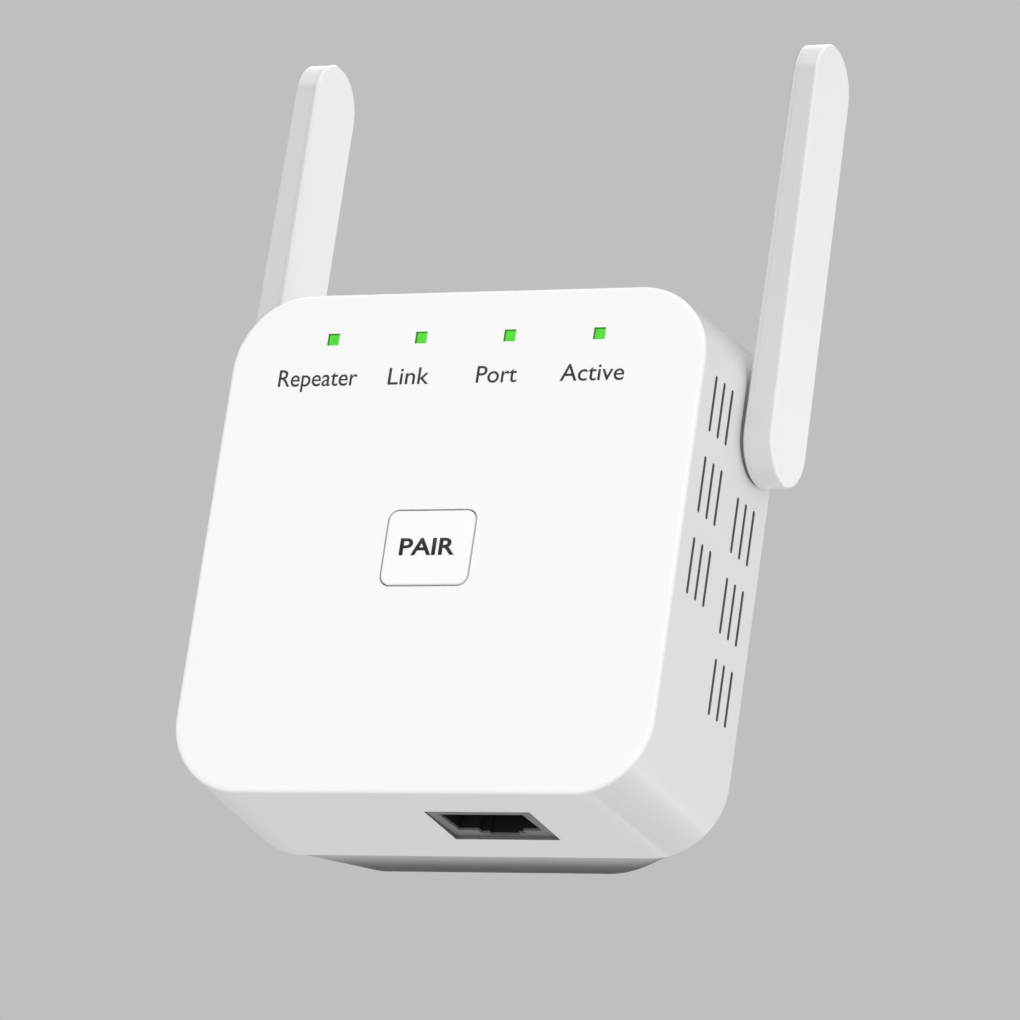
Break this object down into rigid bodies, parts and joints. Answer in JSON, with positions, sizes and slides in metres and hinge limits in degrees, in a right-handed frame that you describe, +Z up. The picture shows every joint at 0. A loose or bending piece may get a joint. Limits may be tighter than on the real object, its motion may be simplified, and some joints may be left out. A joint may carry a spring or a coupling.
{
  "type": "wifi range extender",
  "caption": "Wall-plug wifi range extender: square housing with flat swivelling side antennas, status windows, a push button, side vents and a network jack underneath.",
  "frame": {"origin": "centre of the plug face, midway between the two mains pins, at the pins' roots", "axes": "+Z up (towards the antenna tips), +Y into the wall socket along the pins, front face towards -Y, +X to the right seen from the front"},
  "size_m": [0.0848, 0.0723, 0.1207],
  "materials": {
    "housing_white": "satin moulded white",
    "rear_white": "fine-textured off-white moulding",
    "antenna_white": "satin moulded white",
    "button_white": "satin moulded white",
    "window_green": "lit green light pipe",
    "jack_grey": "grey moulded jack face",
    "jack_black": "black moulded",
    "pin_nickel": "nickel-plated brass, turned",
    "sleeve_dark": "dark insulating sleeve",
    "carrier_white": "heat-resistant moulding",
    "screw_zinc": "zinc-plated",
    "board_green": "solder-masked board",
    "power_board_tan": "paper laminate board",
    "chip_black": "moulded epoxy",
    "pad_blue": "soft thermal pad",
    "sink_aluminium": "extruded, clear anodised",
    "can_steel": "tin-plated sheet",
    "gold": "gold-plated contact",
    "led_white": "moulded LED body",
    "plunger_dark": "black plunger",
    "ferrite": "sintered ferrite",
    "tape_yellow": "yellow winding tape",
    "copper": "enamelled copper wire",
    "capacitor_sleeve": "shrink sleeve over aluminium can",
    "capacitor_blue": "dipped coating",
    "resistor_green": "cement coating",
    "wire_red": "PVC insulation",
    "connector_white": "nylon connector",
    "sheet_film": "black insulating film",
    "cable_grey": "thin coaxial cable jacket",
    "washer_nylon": "nylon friction washer",
    "clip_spring_steel": "spring steel"
  },
  "bodies": {
    "housing": {"antenna_left_washer": "washer_nylon", "antenna_right_washer": "washer_nylon", "bridge_rectifier": "chip_black", "bulk_capacitor": "capacitor_sleeve", "choke_core": "ferrite", "choke_winding": "copper", "coax_left": "cable_grey", "coax_right": "cable_grey", "crystal": "can_steel", "flash_chip": "chip_black", "front_cover": "housing_white", "fuse_resistor": "resistor_green", "heat_sink": "sink_aluminium", "housing_screws": "screw_zinc", "insulation_sheet": "sheet_film", "jack_contacts": "gold", "jack_housing": "jack_black", "jack_shield": "jack_grey", "light_pipe_bar": "window_green", "link_connectors": "connector_white", "link_wires": "wire_red", "main_board": "board_green", "main_board_screws": "screw_zinc", "mains_wires": "wire_red", "memory_chip": "chip_black", "network_transformer": "chip_black", "optocoupler": "connector_white", "output_capacitor": "capacitor_sleeve", "pin_sleeves": "sleeve_dark", "plug_pin_carrier": "carrier_white", "plug_pin_left": "pin_nickel", "plug_pin_right": "pin_nickel", "power_board": "power_board_tan", "power_board_screws": "screw_zinc", "power_controller_chip": "chip_black", "radio_connectors": "gold", "radio_shield_can": "can_steel", "rear_cover": "rear_white", "status_leds": "led_white", "suppression_capacitor": "capacitor_blue", "tact_switch_body": "chip_black", "tact_switch_cover": "can_steel", "thermal_pad": "pad_blue", "transformer_core": "ferrite", "transformer_winding": "tape_yellow", "wifi_chip": "chip_black"},
    "button": {"push_button": "button_white"},
    "switch_plunger": {"tact_switch_plunger": "plunger_dark"},
    "antenna_left": {"antenna_left_base": "antenna_white", "antenna_left_shell": "antenna_white", "antenna_left_strip": "gold", "antenna_left_cable": "cable_grey", "antenna_left_clip": "clip_spring_steel"},
    "antenna_right": {"antenna_right_base": "antenna_white", "antenna_right_shell": "antenna_white", "antenna_right_strip": "gold", "antenna_right_cable": "cable_grey", "antenna_right_clip": "clip_spring_steel"}
  },
  "joints": [
    {"name": "antenna_left_hinge", "type": "hinge", "parent": "housing", "child": "antenna_left", "pos_m": [-0.036, -0.0327, 0.0215], "axis": [1, 0, 0], "range_deg": [0, 180]},
    {"name": "antenna_right_hinge", "type": "hinge", "parent": "housing", "child": "antenna_right", "pos_m": [0.036, -0.0327, 0.0215], "axis": [1, 0, 0], "range_deg": [0, 180]},
    {"name": "button_press", "type": "slide", "parent": "housing", "child": "button", "axis": [0, 1, 0], "range_m": [0, 0.0003]},
    {"name": "switch_travel", "type": "slide", "parent": "housing", "child": "switch_plunger", "axis": [0, 1, 0], "range_m": [0, 0.0003]}
  ],
  "couplings": [
    {"joint": "switch_travel", "follows": "button_press", "ratio": 1}
  ]
}
